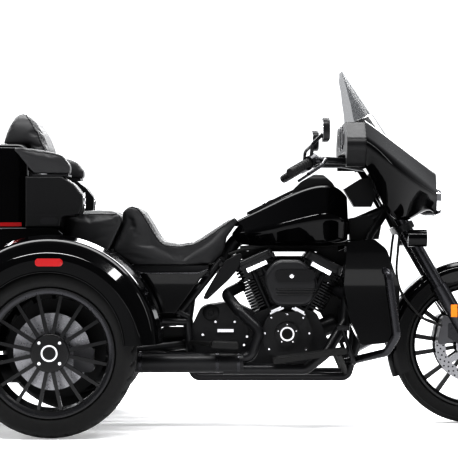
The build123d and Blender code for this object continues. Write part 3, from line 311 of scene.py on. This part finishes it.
# Small pieces are gathered in kits, one mesh for each look and body; from here on sizes are in millimetres
class Kit:
    def __init__(self):
        self.verts, self.faces = [], []

    def add(self, verts, faces):
        base = len(self.verts)
        self.verts += [Vector(v) / 1000 for v in verts]
        self.faces += [tuple(base + i for i in face) for face in faces]
        return self

    def lathe(self, profile, origin, axis, turns=24):
        """Turned skin of (radius, height) points along axis, closed by its two ends."""
        along, outs = round_axis(axis, turns)
        n = len(profile)
        verts = [Vector(origin) + out * r + along * h for out in outs for r, h in profile]
        faces = [(i * n + k, (i + 1) % turns * n + k, (i + 1) % turns * n + k + 1, i * n + k + 1)
                 for i in range(turns) for k in range(n - 1)]
        faces.append(tuple(i * n for i in reversed(range(turns))))
        faces.append(tuple(i * n + n - 1 for i in range(turns)))
        return self.add(verts, faces)

    def hoop(self, radius, thick, origin, axis, turns=40):
        """Round ring of wire."""
        _, outs = round_axis(axis, turns)
        return self.tube([Vector(origin) + out * radius for out in outs], thick, 8, True)

    def hoop_band(self, first, second, origin, axis, turns=96):
        """Band of a cone between two (radius, height) points, skin only."""
        along, outs = round_axis(axis, turns)
        verts = [Vector(origin) + out * r + along * h for out in outs for r, h in (first, second)]
        return self.add(verts, [(2 * i, 2 * i + 1, 2 * ((i + 1) % turns) + 1, 2 * ((i + 1) % turns))
                                for i in range(turns)])

    def tube(self, points, radius, sides=10, closed=False):
        points = [Vector(p) for p in points]
        count, verts, faces = len(points), [], []
        last = None
        for i, p in enumerate(points):
            ahead = points[(i + 1) % count] if closed or i < count - 1 else p
            behind = points[i - 1] if closed or i else p
            t = (ahead - behind).normalized()
            u = t.orthogonal().normalized() if last is None else (last - t * last.dot(t)).normalized()
            last = u
            w = t.cross(u)
            verts += [p + (u * math.cos(a) + w * math.sin(a)) * radius
                      for a in (2 * math.pi * k / sides for k in range(sides))]
        for i in range(count if closed else count - 1):
            j = (i + 1) % count
            faces += [(i * sides + k, i * sides + (k + 1) % sides, j * sides + (k + 1) % sides, j * sides + k)
                      for k in range(sides)]
        if not closed:
            faces.append(tuple(reversed(range(sides))))
            faces.append(tuple((count - 1) * sides + k for k in range(sides)))
        return self.add(verts, faces)

    def slab(self, low, high, place=None):
        """Box between two corners, moved by place if there is one."""
        xs, ys, zs = zip(low, high)
        ends = [Vector((x, y, z)) for x in xs for y in ys for z in zs]
        if place:
            ends = [place @ end for end in ends]
        return self.add(ends, [(0, 1, 3, 2), (4, 6, 7, 5), (0, 4, 5, 1), (2, 3, 7, 6), (0, 2, 6, 4),
                               (1, 5, 7, 3)])

    def plate(self, outline, y0, y1):
        """Side-view outline in X and Z, between two values of Y."""
        n = len(outline)
        verts = [(x, y, z) for y in (y0, y1) for x, z in outline]
        faces = [tuple(range(n)), tuple(reversed(range(n, 2 * n)))]
        faces += [(k, k + n, (k + 1) % n + n, (k + 1) % n) for k in range(n)]
        return self.add(verts, faces)

    def bolts(self, places, axis, radius, height):
        head = [(radius, -1), (radius, height * 0.7), (radius * 0.7, height), (0.4, height)]
        for place in places:
            self.lathe(head, place, axis, 12)
        return self

    def done(self, name, look, body):
        made = add_mesh(name, self.verts, self.faces, look, body)
        tidy = bmesh.new()
        tidy.from_mesh(made.data)
        bmesh.ops.recalc_face_normals(tidy, faces=tidy.faces)
        tidy.to_mesh(made.data)
        tidy.free()
        made.data.set_sharp_from_angle(angle=math.radians(35))


def stadium(x0, x1, z0, z1, steps=10):
    """Outline of a band with round ends."""
    r, mid = (z1 - z0) / 2, (z0 + z1) / 2
    return [(x + r * math.cos(a), mid + r * math.sin(a)) for x, start in ((x1 - r, -0.5), (x0 + r, 0.5))
            for a in (math.pi * (k / steps + start) for k in range(steps + 1))]


def curve(points, steps=8):
    """Points of a smooth line through the given ones."""
    p = [Vector(v) for v in points]
    p = [p[0] * 2 - p[1], *p, p[-1] * 2 - p[-2]]
    line = []
    for a, b, c, d in zip(p, p[1:], p[2:], p[3:]):
        for k in range(steps):
            t = k / steps
            line.append(((b * 2) + (c - a) * t + (a * 2 - b * 5 + c * 4 - d) * t ** 2
                         + (b * 3 - a - c * 3 + d) * t ** 3) / 2)
    return line + [p[-2]]


def around(centre, radius, count, start=0.0):
    """Places round a Y axis."""
    x, y, z = centre
    return [(x + radius * math.cos(a), y, z + radius * math.sin(a))
            for a in (math.radians(start) + 2 * math.pi * k / count for k in range(count))]


SIDES = (-1, 1)
NAMES = {-1: "right", 1: "left"}
FORWARD, REARWARD, RIGHTWARD = (1, 0, 0), (-1, 0, 0), (0, -1, 0)

# Piping on the cushions: lines of the left side that are drawn onto the puffed skin, on both sides
PIPING = {
    "rider_seat": ((44, 90, 850), (-40, 130, 800), (-112, 168, 752), (-179, 190, 742), (-240, 192, 748),
                   (-290, 192, 830), (-338, 192, 896), (-374, 192, 902)),
    "passenger_seat": ((-424, 192, 870), (-508, 192, 878), (-630, 192, 868)),
    "backrest": ((-716, 214, 1050), (-708, 214, 1112), (-735, 206, 1182), (-768, 196, 1240), (-790, 150, 1262),
                 (-800, 60, 1270), (-800, 0, 1272)),
    "arm_pads": ((-800, 396, 1116), (-744, 396, 1108), (-678, 396, 1106), (-628, 396, 1094), (-600, 396, 1054)),
}
PIPING_R = 3.2
piping = Kit()
for node, made in cushions:
    skin = tree_of(made.data)
    for side in SIDES:
        line = [Vector((x, side * y, z)) / 1000 for x, y, z in curve(PIPING[node], 6)]
        piping.tube([skin.find_nearest(point)[0] * 1000 for point in line], PIPING_R, 8)
piping.done("cushion_piping", "seat_leather", "chassis")

# Rear wheels: nuts and cap ring on the hub, faced rim
BOLT_CIRCLE_R = 55
REAR_HUB_FACE = 78
RIM_LIP, RIM_EDGE, RIM_FOOT = (246.4, 95), (240, 97.6), (226, 92)
for side in SIDES:
    hub = middle("rear_wheel_" + NAMES[side])
    out = (0, side, 0)
    face = hub + Vector(out) * REAR_HUB_FACE
    nuts = Kit().bolts(around(face, BOLT_CIRCLE_R, 4, 45), out, 9, 13)
    nuts.lathe([(25, 15.5), (25, 17.5), (32, 17.5), (33, 14)], face, out, 40)
    rim = Kit().hoop_band(RIM_LIP, RIM_EDGE, hub, out).hoop_band(RIM_EDGE, RIM_FOOT, hub, out)
    rim.done("rear_rim_face_" + NAMES[side], "graphite", "rear_wheel_set_" + NAMES[side])
    nuts.done("rear_nuts_" + NAMES[side], "bright_trim", "rear_wheel_set_" + NAMES[side])

# Front wheel: carrier bolts and the drilled faces of the discs
DISC_HOLES = 30
front_hub = middle("front_wheel")
disc_y = corners("front_discs")[1].y
carrier_bolts, disc_holes = Kit(), Kit()
for side in SIDES:
    out = (0, side, 0)
    face = (front_hub.x, side * disc_y, front_hub.z)
    carrier_bolts.bolts(around(face, BOLT_CIRCLE_R, 5, 18), out, 6, 5)
    for ring_r, start in ((117, 0), (129, 6), (141, 0)):
        for place in around(face, ring_r, DISC_HOLES, start):
            disc_holes.lathe([(3.6, 0.1), (3.4, 0.5)], place, out, 10)
carrier_bolts.done("front_disc_bolts", "bright_trim", "front_wheel_set")
disc_holes.done("front_disc_holes", "satin_black", "front_wheel_set")

# Cylinders: bright strips under the rocker boxes, lifter blocks at the feet, head bolts
CRANK = Vector((257, 0, 373))
LEANS = {"cylinder_rear": -24, "cylinder_front": 28}
STRIP_HALF, STRIP_Z0, STRIP_Z1 = 44, 288, 305
tubes_y = corners("pushrod_tubes")[0].y
engine_bright, engine_dark = Kit(), Kit()
for node, lean in LEANS.items():
    place = Matrix.Translation(CRANK) @ Matrix.Rotation(math.radians(lean), 4, "Y")
    head, _ = hit(node, place @ Vector((0, -300, 297)), (0, 1, 0))
    strip_y = min(head.y, tubes_y) - 3
    engine_bright.slab((-STRIP_HALF, strip_y, STRIP_Z0), (STRIP_HALF, head.y + 4, STRIP_Z1), place)
    engine_bright.slab((-30, -150, 96), (30, -100, 104), place)
    engine_bright.slab((-22, -146, 104), (22, -104, 111), place)
    up = place.to_3x3() @ Vector((0, 0, 1))
    for x in (-52, -18, 18, 52):
        engine_bright.bolts([place @ Vector((x, y, 256)) for y in (-92, 92)], up, 5, 6)

# Cases: timing cover with its ring and screws, cam cover screws, gearbox screws with a strip and a round cap
GEARBOX_Y = -100
CAM_SCREWS = ((184, 312), (258, 278), (332, 312), (346, 376), (322, 438), (258, 452), (194, 438), (168, 376))
GEARBOX_SCREWS = ((-32, 418), (46, 418), (-84, 366), (-76, 326), (84, 324), (96, 358))
cover_y = corners("engine_cases")[0].y
timing = (CRANK.x, cover_y, CRANK.z)
engine_bright.lathe([(22, -1), (22, 1.5), (29, 1.5), (30, -1)], timing, RIGHTWARD, 40)
engine_bright.bolts(around(timing, 38, 5, 90), RIGHTWARD, 4, 3)
engine_dark.lathe([(21, -1), (21, 1), (0.5, 1.6)], timing, RIGHTWARD, 32)
engine_bright.bolts([(x, cover_y + 14, z) for x, z in CAM_SCREWS], RIGHTWARD, 5, 4)
engine_bright.bolts([(x, GEARBOX_Y, z) for x, z in GEARBOX_SCREWS], RIGHTWARD, 7, 6)
engine_bright.slab((-24, GEARBOX_Y - 8, 376), (42, GEARBOX_Y + 1, 389))
engine_dark.lathe([(34, -2), (34, 6), (28, 9), (12, 9), (11, 6), (0.5, 6)], (-50, GEARBOX_Y, 456),
                  RIGHTWARD, 32)

# Air cleaner: raised band with its screw, and three ribs below
CLEANER_Y, BAND_Y = -275, -281
engine_dark.plate(stadium(206, 366, 584, 634), BAND_Y, CLEANER_Y)
engine_bright.lathe([(9, 0), (9, 3), (5, 3.5), (4.5, 1.5), (0.5, 1.5)], (272, BAND_Y, 609), RIGHTWARD, 20)
for z, x0, x1 in ((556, 206, 372), (546, 210, 368), (534, 216, 360)):
    engine_dark.tube([(x0, CLEANER_Y, z), (x0 + 12, CLEANER_Y - 3, z), (x1 - 12, CLEANER_Y - 3, z),
                      (x1, CLEANER_Y, z)], 2.6, 8)

# Ahead of the cases: oil filter, and the regulator with its fins
REGULATOR_HALF, FIN_STEP, FIN_THICK = 66, 16, 4
engine_dark.lathe([(30, 0), (37, 6), (38, 80), (34, 90), (14, 92), (0.5, 92)], (376, -40, 378),
                  (0.92, 0, 0.39), 40)
engine_dark.slab((470, -REGULATOR_HALF, 330), (482, REGULATOR_HALF, 470))
for y in range(-REGULATOR_HALF, REGULATOR_HALF, FIN_STEP):
    engine_dark.slab((482, y, 332), (506, y + FIN_THICK, 468))

# Splash plate behind the gearbox and cover plate at the neck
engine_dark.plate([(-250, 396), (-150, 396), (-118, 372), (-118, 318), (-250, 318)], -64, -58)
engine_dark.plate([(514, 838), (590, 852), (646, 806), (636, 754), (520, 750)], -40, 40)

# Wiring tray under the tank with the coil, the intake and the horn below it; cooler cover on the downtubes
engine_dark.slab((104, -30, 702), (470, 30, 735))
for x0, x1, z0, z1 in ((66, 146, 672, 704), (200, 345, 640, 684), (384, 470, 660, 704)):
    engine_dark.slab((x0, -28, z0), (x1, 28, z1))
engine_dark.plate([(466, 702), (524, 724), (540, 520), (506, 400), (430, 392), (372, 500), (440, 590)], -18, 18)
engine_bright.done("engine_bright", "bright_trim", "chassis")
engine_dark.done("engine_dark", "dark_plastic", "chassis")

# Exhaust: clamps at the joints
CLAMP_R, CLAMP_BORE, CLAMP_HALF = 42.5, 39.5, 6
clamp = [(CLAMP_BORE, -CLAMP_HALF), (CLAMP_R, -CLAMP_HALF), (CLAMP_R, CLAMP_HALF), (CLAMP_BORE, CLAMP_HALF)]
clamps = Kit()
for x in (-24, 60, -330):
    clamps.lathe(clamp, (x, -240, 264), FORWARD, 32)
clamps.done("exhaust_clamps", "graphite", "chassis")

# Steering: lamp bezel and inner lamps, axle ends, fork reflectors, brake hoses, dials, grip ribs and the cover
# plate at the steering head
LAMP_X = 870
lamp_z = middle("headlamp").z
BRAKE_HOSE = ((716, 134, 800), (705, 152, 710), (700, 154, 612), (724, 154, 530), (800, 150, 440),
              (884, 146, 404))
GRIP_IN, GRIP_OUT = (358, 330, 1070), (262, 450, 1014)
DIALS = ((66, 1166, 46, 3, 32), (160, 1160, 26, 2, 28))
steer_bright, dial_faces, reflectors, hoses, dial_rims = Kit(), Kit(), Kit(), Kit(), Kit()
steer_bright.lathe([(57, 17), (58, 22), (63, 20), (66, 12), (66, 2), (62, 0)], (LAMP_X, 0, lamp_z), FORWARD, 48)
for rise in (-26, 26):
    steer_bright.lathe([(18, 20), (17, 27), (0.5, 28)], (LAMP_X, 0, lamp_z + rise), FORWARD, 24)
for side in SIDES:
    steer_bright.bolts([(front_hub.x, side * 148, front_hub.z)], (0, side, 0), 15, 10)
    # fork reflectors, not lamps: the faint glow of their amber lens finish is a painted glow
    reflectors.slab((918, side * 152, 440), (944, side * 158, 490))
    hoses.tube(curve([(x, side * y, z) for x, y, z in BRAKE_HOSE]), 5)
    for y, z, radius, wire, turns in DIALS:
        dial_rims.hoop(radius, wire, (484, side * y, z), FORWARD)
        dial_faces.lathe([(radius - 1, 0), (radius - 1, 3), (0.5, 3)], (486, side * y, z), REARWARD, turns)
    grip_in, grip_out = (Vector((x, side * y, z)) for x, y, z in (GRIP_IN, GRIP_OUT))
    run = (grip_out - grip_in).normalized()
    for k in range(7):
        hoses.lathe([(17.0, -3.4), (18.2, -3), (18.2, 3), (17.0, 3.4)], grip_out - run * (10 + 16 * k), run, 28)
dial_faces.plate([(494, 958), (536, 886), (606, 886), (636, 960), (604, 1006), (562, 1000)], -42, 42)
steer_bright.done("steering_bright", "bright_trim", "steering")
dial_faces.done("dash_faces", "dark_plastic", "steering")
dial_rims.done("dash_rims", "graphite", "steering")
reflectors.done("fork_reflectors", "amber_lens", "steering")
hoses.done("hoses_and_grip_ribs", "soft_rubber", "steering")

# Footboards: rubber ribs
ribs = Kit()
for side in SIDES:
    for k in range(-2, 3):
        y = side * (326 + 15 * k)
        ribs.tube([(212, y, 288), (474, y, 324.5)], 4, 8)
ribs.done("board_ribs", "soft_rubber", "chassis")

# Rear body: side markers, fender lip beads, deck skirts, a bright line along the deck edge that is a painted
# highlight, pod details, splash discs, tail lamp bezels
MARKER = stadium(-48, 48, -15, 15)
LIP_X, LIP_Z, LIP_R = -660.5, 343.5, 290
DECK_SKIRT = ((-792, 793), (-657, 793), (-630, 772), (-630, 756), (-792, 756))
# path of a bright tube along the deck edge: a painted highlight on the trunk's upper edge
BODY_EDGE_HIGHLIGHT = ((-1270, 797), (-660, 797), (-634, 774))
SPLASH_Y = 344
TAIL_LAMP_Y, TAIL_LAMP_Z = 560, 520
markers, beads, body_chrome_and_highlight, body_dark = Kit(), Kit(), Kit(), Kit()
for side in SIDES:
    place, facing = hit("rear_fenders", (-648, side * 900, 669), (0, -side, 0))
    turn = Matrix.Translation(place) @ facing.to_track_quat("Y", "Z").to_matrix().to_4x4()
    n = len(MARKER)
    shell = [turn @ Vector((x * grow, y, z * grow))
             for y, grow in ((-6, 1), (3, 1), (5, 0.9)) for x, z in MARKER]
    wall = [(r * n + k, r * n + (k + 1) % n, (r + 1) * n + (k + 1) % n, (r + 1) * n + k)
            for r in range(2) for k in range(n)]
    markers.add(shell, wall + [tuple(2 * n + k for k in range(n))])
    arc = [math.radians(2 + 186 * k / 72) for k in range(73)]
    beads.tube([(LIP_X + LIP_R * math.cos(a), side * 683, LIP_Z + LIP_R * math.sin(a)) for a in arc], 4, 8)
    beads.plate(DECK_SKIRT, side * 326, side * 331)
    # chrome tube along the deck edge: a painted highlight; the tail lamp bezels below share this mesh and are
    # real chrome
    body_chrome_and_highlight.tube([(x, side * 331.5, z) for x, z in BODY_EDGE_HIGHLIGHT], 3.2, 8)
    body_dark.slab((-748, side * 222, 1001), (-606, side * 378, 1009.5))
    body_dark.plate(stadium(-716, -648, 812, 840), side * 382, side * 385)
    body_dark.slab((-774, side * 382.5, 848), (-580, side * 384.6, 850.5))
    rear_hub = middle("rear_wheel_" + NAMES[side])
    body_dark.lathe([(46, 0), (46, 3), (196, 3), (196, 0)], (rear_hub.x, side * SPLASH_Y, rear_hub.z),
                    (0, side, 0), 64)
    body_chrome_and_highlight.lathe([(46, 0), (46, 4), (53, 3), (56, -4), (56, -22), (51, -22)],
                      (-1114.5, side * TAIL_LAMP_Y, TAIL_LAMP_Z), REARWARD, 48)
    for r in (18, 32):
        markers.hoop(r, 1.4, (-1114.8, side * TAIL_LAMP_Y, TAIL_LAMP_Z), FORWARD)
markers.done("side_markers", "red_lens", "chassis")
beads.done("fender_beads", "gloss_black", "chassis")
body_chrome_and_highlight.done("body_chrome_and_painted_highlight", "bright_trim", "chassis")
body_dark.done("body_dark", "satin_black", "chassis")

# Side covers: a lighter tube along the top, a painted highlight line; tank: filler cap on the console and
# wiring below
COVER_HIGHLIGHT_LINE = ((-372, 203, 642), (-336, 205, 622), (-318, 205, 617), (-140, 205, 617), (-98, 205, 618),
               (-66, 204, 630))
MAIN_LOOM = ((70, 60, 716), (170, 72, 724), (300, 70, 722), (420, 62, 728), (520, 50, 742))
REAR_LOOM = ((20, 96, 690), (90, 78, 712), (200, 58, 716), (330, 56, 712))
FILLER_X = 180
cover_highlight, loom = Kit(), Kit()
for side in SIDES:
    # lighter graphite tube along the cover's top edge: a painted highlight, not a real ridge
    cover_highlight.tube(curve([(x, side * y, z) for x, y, z in COVER_HIGHLIGHT_LINE], 6), 2.6, 8)
    for route, radius in ((MAIN_LOOM, 9), (REAR_LOOM, 7)):
        loom.tube(curve([(x, side * y, z) for x, y, z in route]), radius)
place, facing = hit("tank_console", (FILLER_X, 0, 1200), (0, 0, -1))
filler_cap = Kit().lathe([(27, -3), (27, 3), (24, 5), (8, 6), (0.5, 6)], place, facing, 40)
cover_highlight.done("cover_painted_highlights", "graphite", "chassis")
loom.done("wiring_loom", "soft_rubber", "chassis")
filler_cap.done("filler_cap", "bright_trim", "chassis")

# Mirrors: glass on the rear faces
MIRROR_Y, MIRROR_Z, MIRROR_HALF_W, MIRROR_HALF_H = 448, 1180, 60, 36
glass = Kit()
for side in SIDES:
    oval = [(side * MIRROR_Y + MIRROR_HALF_W * math.cos(a), MIRROR_Z + MIRROR_HALF_H * math.sin(a))
            for a in (math.pi * k / 20 for k in range(40))]
    n = len(oval)
    glass.add([(x, y, z) for x in (386.5, 385.2) for y, z in oval],
              [tuple(range(n, 2 * n))] + [(k, (k + 1) % n, n + (k + 1) % n, n + k) for k in range(n)])
glass.done("mirror_glass", "bright_trim", "steering")

# Luggage: lighter lines on the lid at its seam and shoulder, painted highlights (the lower ones also mark the
# seam), pod speakers, blank plate and handle on the trunk door
# lighter strips at the lid seam and shoulder: painted highlight lines, the lower ones on the seam
lid_painted_highlights = Kit().slab((-1250, -302, 1027), (-920, -299.5, 1033)).slab((-1290, -250, 1027), (-1287, 250, 1033))
lid_painted_highlights.slab((-1250, -302, 1090), (-920, -299.5, 1094)).slab((-1250, 299.5, 1090), (-920, 302, 1094))
lid_painted_highlights.done("lid_painted_highlights", "graphite", "luggage_lid_panel")
pod_rings, pod_cones = Kit(), Kit()
for side in SIDES:
    pod_rings.hoop(30, 2.5, (-549, side * 300, 905), FORWARD)
    pod_cones.lathe([(29, -2), (29, 1.5), (0.5, 3)], (-550, side * 300, 905), FORWARD, 32)
pod_rings.done("pod_rings", "bright_trim", "chassis")
pod_cones.done("pod_cones", "soft_rubber", "chassis")
Kit().slab((-1337.5, -95, 560), (-1334, 95, 668)).done("blank_plate", "graphite", "trunk_door_panel")
Kit().slab((-1339, -60, 706), (-1334, 60, 726)).done("door_handle", "bright_trim", "trunk_door_panel")


# Lamps with two looks: the lens stays at the front, the shell behind it takes the second look
def dark_shell(node, look, lens_x):
    mesh = nodes[node].data
    mesh.materials.append(LOOKS[look])
    for face in mesh.polygons:
        if face.center.x * 1000 < lens_x:
            face.material_index = 1


dark_shell("turn_signals", "gloss_black", 803)
dark_shell("headlamp", "satin_black", 884)

# Stage, in metres: a pale floor that fades to white behind the trike
FLOOR_HALF = 60.0
FLOOR_GLOW, FAR_GLOW = 0.26, 0.85
FADE_FROM, FADE_TO = 0.8, 8.0
floor_mesh = bpy.data.meshes.new("floor")
floor_mesh.from_pydata([(x * FLOOR_HALF, y * FLOOR_HALF, 0) for x, y in ((-1, -1), (1, -1), (1, 1), (-1, 1))],
                       [], [(0, 1, 2, 3)])
floor = bpy.data.objects.new("floor", floor_mesh)
bpy.context.scene.collection.objects.link(floor)
pale = Shader("floor", Base_Color=(0.86, 0.86, 0.87), Roughness=0.9, Emission_Strength=1.0)
away = pale.node("ShaderNodeSeparateXYZ", {}, {0: pale.place()}, "Y")
pale.set(Emission_Color=pale.node("ShaderNodeMapRange", {"interpolation_type": "SMOOTHSTEP"}, {
    "Value": away, "From Min": FADE_FROM, "From Max": FADE_TO, "To Min": FLOOR_GLOW, "To Max": FAR_GLOW}))
floor_mesh.materials.append(pale.material)


def area_light(name, place, aim, size, energy):
    lamp = bpy.data.lights.new(name, "AREA")
    lamp.shape = "RECTANGLE"
    lamp.size, lamp.size_y = size
    lamp.energy = energy
    made = bpy.data.objects.new(name, lamp)
    made.location = place
    made.rotation_euler = (Vector(aim) - Vector(place)).to_track_quat("-Z", "Y").to_euler()
    bpy.context.scene.collection.objects.link(made)


# Strip lights for the long highlights on the black paint
AIM = (0.0, 0.0, 0.6)
for name, place, size, energy in (
    ("key strip", (0.2, -2.4, 4.2), (5.6, 0.25), 230.0),
    ("top strip", (0.0, 1.0, 4.4), (7.0, 1.6), 300.0),
    ("front strip", (4.6, -1.6, 2.2), (0.5, 2.4), 24.0),
    ("rear strip", (-4.6, -1.6, 2.2), (0.5, 2.4), 40.0),
    ("low strip", (0.0, -4.6, 0.5), (5.0, 0.1), 5.0),
    ("far strip", (0.0, 4.5, 3.0), (7.0, 1.0), 200.0),
):
    area_light(name, place, AIM, size, energy)

# Studio walls: white behind the trike, dim behind the camera
world = bpy.data.worlds.new("studio")
world.use_nodes = True
tree = world.node_tree
sky = tree.nodes["Background"]
sky.inputs[0].default_value = (0.97, 0.98, 1.0, 1.0)
way = tree.nodes.new("ShaderNodeTexCoord")
split = tree.nodes.new("ShaderNodeSeparateXYZ")
fade = tree.nodes.new("ShaderNodeMapRange")
fade.interpolation_type = "SMOOTHSTEP"
for key, value in (("From Min", -0.35), ("From Max", 0.8), ("To Min", 0.2), ("To Max", 1.05)):
    fade.inputs[key].default_value = value
tree.links.new(way.outputs["Generated"], split.inputs[0])
tree.links.new(split.outputs["Y"], fade.inputs["Value"])
tree.links.new(fade.outputs[0], sky.inputs[1])
bpy.context.scene.world = world

# The photo is a long-lens side view: values in metres, focal length and middle in its 458 pixels
CAMERA_AT = Vector((0.023, -7.7, 0.788))
FOCAL_PX = 1870.0
MIDDLE_PX = (229.0, 230.7)
IMAGE_PX = 458.0
camera = bpy.data.cameras.new("camera")
camera.lens = camera.sensor_width * FOCAL_PX / IMAGE_PX
camera.clip_end = 200.0
eye = bpy.data.objects.new("camera", camera)
eye.location = CAMERA_AT
look = Vector(((IMAGE_PX / 2 - MIDDLE_PX[0]) / FOCAL_PX, 1.0, (MIDDLE_PX[1] - IMAGE_PX / 2) / FOCAL_PX))
eye.rotation_euler = look.to_track_quat("-Z", "Y").to_euler()
bpy.context.scene.collection.objects.link(eye)
bpy.context.scene.camera = eye
bpy.context.scene.view_settings.view_transform = "Standard"
bpy.context.scene.view_settings.look = "High Contrast"
